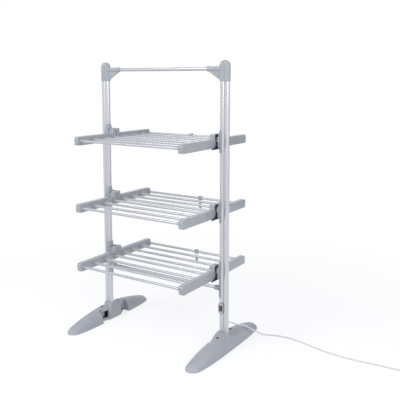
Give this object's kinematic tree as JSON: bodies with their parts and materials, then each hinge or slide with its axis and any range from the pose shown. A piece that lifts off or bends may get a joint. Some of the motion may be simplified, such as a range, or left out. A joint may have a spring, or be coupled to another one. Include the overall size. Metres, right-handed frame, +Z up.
{
  "type": "heated clothes airer",
  "caption": "Freestanding heated clothes airer: two posts on folding feet carry tiers of heated bars between end arms that fold up, with a top rail, a rocker switch and a mains cord.",
  "frame": {"origin": "on the floor, midway between the two posts", "axes": "+X from the left post to the right post, -Y towards the front, +Z up"},
  "size_m": [1.748, 0.6744, 1.42],
  "materials": {
    "satin_aluminium": "satin silver extrusion",
    "silver_bar": "silver coated tube",
    "grey_plastic": "fine grained moulding",
    "foot_plastic": "fine grained moulding",
    "switch_plastic": "smooth",
    "red_rocker": "smooth, lit from inside when on",
    "white_flex": "soft PVC sheath",
    "white_plug": "smooth moulding"
  },
  "bodies": {
    "frame": {"left_post": "satin_aluminium", "right_post": "satin_aluminium", "left_top_cap": "grey_plastic", "right_top_cap": "grey_plastic", "top_rail": "silver_bar", "cross_tube": "silver_bar", "top_left_bracket": "grey_plastic", "top_right_bracket": "grey_plastic", "middle_left_bracket": "grey_plastic", "middle_right_bracket": "grey_plastic", "lower_left_bracket": "grey_plastic", "lower_right_bracket": "grey_plastic", "left_foot_block": "foot_plastic", "right_foot_block": "foot_plastic", "switch_housing": "switch_plastic", "cord_gland": "white_flex", "mains_cord": "white_flex", "cord_coil": "white_flex", "mains_plug": "white_plug"},
    "top_front_wing": {"top_front_left_arm": "grey_plastic", "top_front_right_arm": "grey_plastic", "top_front_bar_1": "silver_bar", "top_front_bar_2": "silver_bar", "top_front_bar_3": "silver_bar", "top_front_bar_4": "silver_bar"},
    "top_back_wing": {"top_back_left_arm": "grey_plastic", "top_back_right_arm": "grey_plastic", "top_back_bar_1": "silver_bar", "top_back_bar_2": "silver_bar", "top_back_bar_3": "silver_bar", "top_back_bar_4": "silver_bar"},
    "middle_front_wing": {"middle_front_left_arm": "grey_plastic", "middle_front_right_arm": "grey_plastic", "middle_front_bar_1": "silver_bar", "middle_front_bar_2": "silver_bar", "middle_front_bar_3": "silver_bar", "middle_front_bar_4": "silver_bar"},
    "middle_back_wing": {"middle_back_left_arm": "grey_plastic", "middle_back_right_arm": "grey_plastic", "middle_back_bar_1": "silver_bar", "middle_back_bar_2": "silver_bar", "middle_back_bar_3": "silver_bar", "middle_back_bar_4": "silver_bar"},
    "lower_front_wing": {"lower_front_left_arm": "grey_plastic", "lower_front_right_arm": "grey_plastic", "lower_front_bar_1": "silver_bar", "lower_front_bar_2": "silver_bar", "lower_front_bar_3": "silver_bar", "lower_front_bar_4": "silver_bar"},
    "lower_back_wing": {"lower_back_left_arm": "grey_plastic", "lower_back_right_arm": "grey_plastic", "lower_back_bar_1": "silver_bar", "lower_back_bar_2": "silver_bar", "lower_back_bar_3": "silver_bar", "lower_back_bar_4": "silver_bar"},
    "left_front_foot": {"left_front_foot_half": "foot_plastic"},
    "left_back_foot": {"left_back_foot_half": "foot_plastic"},
    "right_front_foot": {"right_front_foot_half": "foot_plastic"},
    "right_back_foot": {"right_back_foot_half": "foot_plastic"},
    "rocker": {"switch_rocker": "red_rocker"}
  },
  "joints": [
    {"name": "top_front_fold", "type": "hinge", "parent": "frame", "child": "top_front_wing", "pos_m": [0, -0.0125, 1.0545], "axis": [1, 0, 0], "range_deg": [-90, 0]},
    {"name": "top_back_fold", "type": "hinge", "parent": "frame", "child": "top_back_wing", "pos_m": [0, 0.0125, 1.0545], "axis": [1, 0, 0], "range_deg": [0, 90]},
    {"name": "middle_front_fold", "type": "hinge", "parent": "frame", "child": "middle_front_wing", "pos_m": [0, -0.0125, 0.7095], "axis": [1, 0, 0], "range_deg": [-90, 0]},
    {"name": "middle_back_fold", "type": "hinge", "parent": "frame", "child": "middle_back_wing", "pos_m": [0, 0.0125, 0.7095], "axis": [1, 0, 0], "range_deg": [0, 90]},
    {"name": "lower_front_fold", "type": "hinge", "parent": "frame", "child": "lower_front_wing", "pos_m": [0, -0.0125, 0.4025], "axis": [1, 0, 0], "range_deg": [-90, 0]},
    {"name": "lower_back_fold", "type": "hinge", "parent": "frame", "child": "lower_back_wing", "pos_m": [0, 0.0125, 0.4025], "axis": [1, 0, 0], "range_deg": [0, 90]},
    {"name": "left_front_foot_swing", "type": "hinge", "parent": "frame", "child": "left_front_foot", "pos_m": [-0.375, -0.064, 0.033], "axis": [0, 0, 1], "range_deg": [0, 90]},
    {"name": "left_back_foot_swing", "type": "hinge", "parent": "frame", "child": "left_back_foot", "pos_m": [-0.375, 0.064, 0.033], "axis": [0, 0, 1], "range_deg": [-90, 0]},
    {"name": "right_front_foot_swing", "type": "hinge", "parent": "frame", "child": "right_front_foot", "pos_m": [0.375, -0.064, 0.033], "axis": [0, 0, 1], "range_deg": [-90, 0]},
    {"name": "right_back_foot_swing", "type": "hinge", "parent": "frame", "child": "right_back_foot", "pos_m": [0.375, 0.064, 0.033], "axis": [0, 0, 1], "range_deg": [0, 90]},
    {"name": "rocker_tilt", "type": "hinge", "parent": "frame", "child": "rocker", "pos_m": [0.3635, -0.012, 0.203], "axis": [1, 0, 0], "range_deg": [-16, 0]}
  ],
  "couplings": [
    {"joint": "lower_front_fold", "follows": "middle_front_fold", "ratio": 1},
    {"joint": "lower_back_fold", "follows": "middle_back_fold", "ratio": 1}
  ]
}
